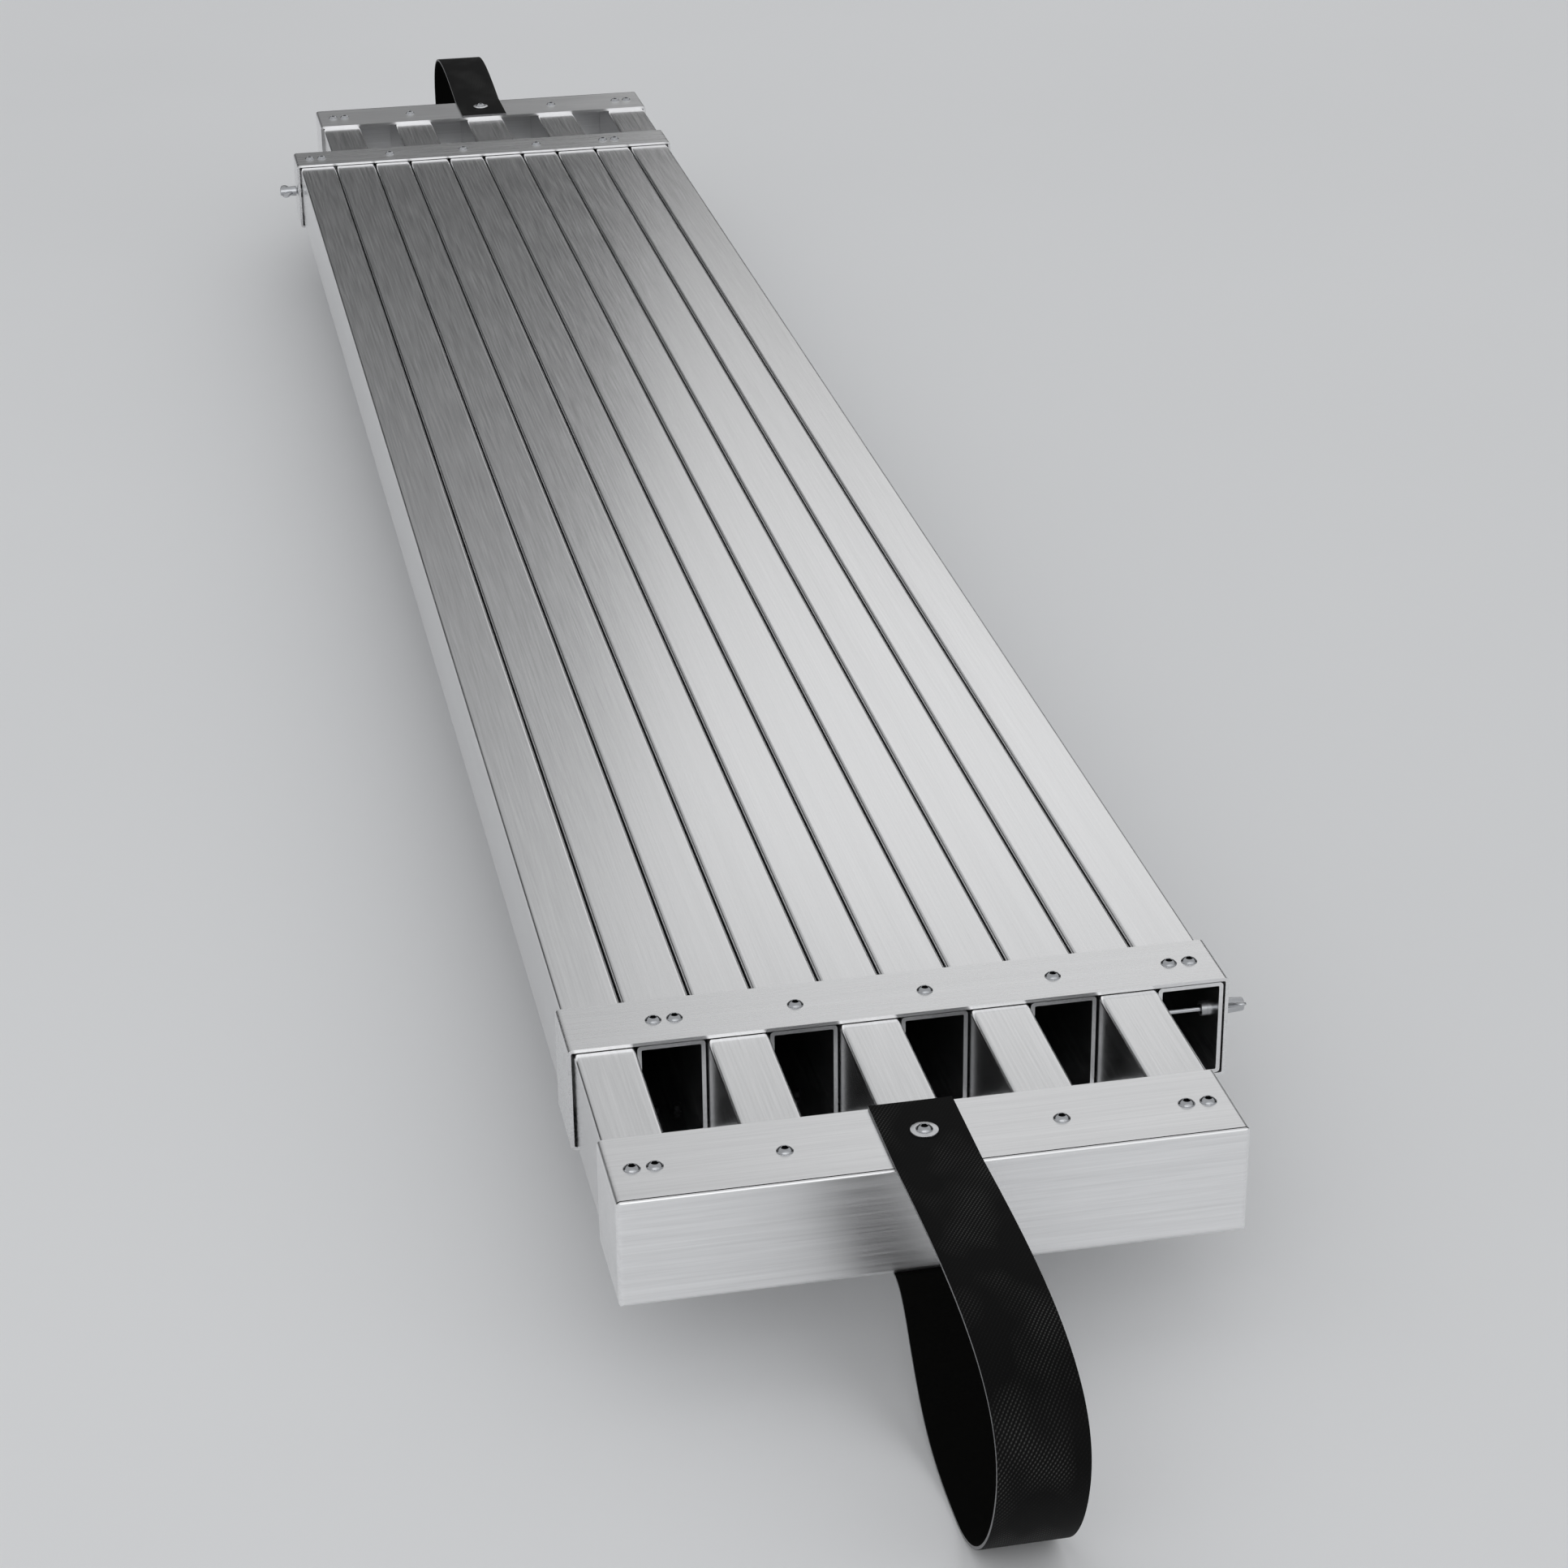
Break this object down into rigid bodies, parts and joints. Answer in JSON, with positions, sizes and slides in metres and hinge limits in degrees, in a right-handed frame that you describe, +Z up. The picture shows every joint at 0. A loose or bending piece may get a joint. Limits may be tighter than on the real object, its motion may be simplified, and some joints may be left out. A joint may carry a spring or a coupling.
{
  "type": "telescoping walk board",
  "caption": "Telescoping aluminium walk board: interleaved box rails in two sections that slide apart, folded end caps and collars, wing-bolt clamps and a carrying strap loop at each end.",
  "frame": {"origin": "under the middle of the plank, on the surface that the hanging strap loops touch", "axes": "+X across the plank to the right as seen from the near end, +Y along the plank away from the near end, +Z up"},
  "size_m": [0.3876, 2.478, 0.1305],
  "materials": {
    "rails": "brushed lengthwise",
    "folded_sheet": "brushed crosswise",
    "screws": "polished",
    "washers": "satin",
    "inserts": "satin",
    "wing_bolts": "polished",
    "clamp_pads": "turned",
    "strap": "cross-hatch embossed, matte"
  },
  "bodies": {
    "far_section": {"far_cap": "folded_sheet", "far_rail_1": "rails", "far_rail_2": "rails", "far_rail_3": "rails", "far_rail_4": "rails", "far_rail_5": "rails", "near_collar": "folded_sheet", "far_cap_screws": "screws", "far_cap_lower_screws": "screws", "near_collar_screws": "screws", "near_collar_lower_screws": "screws", "far_strap": "strap", "far_strap_screws": "screws", "far_strap_washers": "washers", "near_clamp_insert": "inserts"},
    "near_section": {"near_cap": "folded_sheet", "near_rail_1": "rails", "near_rail_2": "rails", "near_rail_3": "rails", "near_rail_4": "rails", "near_rail_5": "rails", "far_collar": "folded_sheet", "near_cap_screws": "screws", "near_cap_lower_screws": "screws", "far_collar_screws": "screws", "far_collar_lower_screws": "screws", "near_strap": "strap", "near_strap_screws": "screws", "near_strap_washers": "washers", "far_clamp_insert": "inserts"},
    "near_clamp_pad": {"near_clamp_pad": "clamp_pads"},
    "near_wing_bolt": {"near_wing_bolt": "wing_bolts"},
    "far_clamp_pad": {"far_clamp_pad": "clamp_pads"},
    "far_wing_bolt": {"far_wing_bolt": "wing_bolts"}
  },
  "joints": [
    {"name": "extension", "type": "slide", "parent": "far_section", "child": "near_section", "axis": [0, -1, 0], "range_m": [-0.0915, 0.75]},
    {"name": "near_pad_slide", "type": "slide", "parent": "far_section", "child": "near_clamp_pad", "axis": [1, 0, 0], "range_m": [0, 0.002]},
    {"name": "near_wing_turn", "type": "hinge", "parent": "near_clamp_pad", "child": "near_wing_bolt", "pos_m": [0.18, -0.8665, 0.0884], "axis": [1, 0, 0], "range_deg": [0, 720.5]},
    {"name": "far_pad_slide", "type": "slide", "parent": "near_section", "child": "far_clamp_pad", "axis": [-1, 0, 0], "range_m": [0, 0.002]},
    {"name": "far_wing_turn", "type": "hinge", "parent": "far_clamp_pad", "child": "far_wing_bolt", "pos_m": [-0.18, 0.8665, 0.0884], "axis": [-1, 0, 0], "range_deg": [0, 720.5]}
  ],
  "couplings": [
    {"joint": "near_wing_turn", "follows": "near_pad_slide", "rad_per_m": 6283.2},
    {"joint": "far_wing_turn", "follows": "far_pad_slide", "rad_per_m": 6283.2}
  ]
}
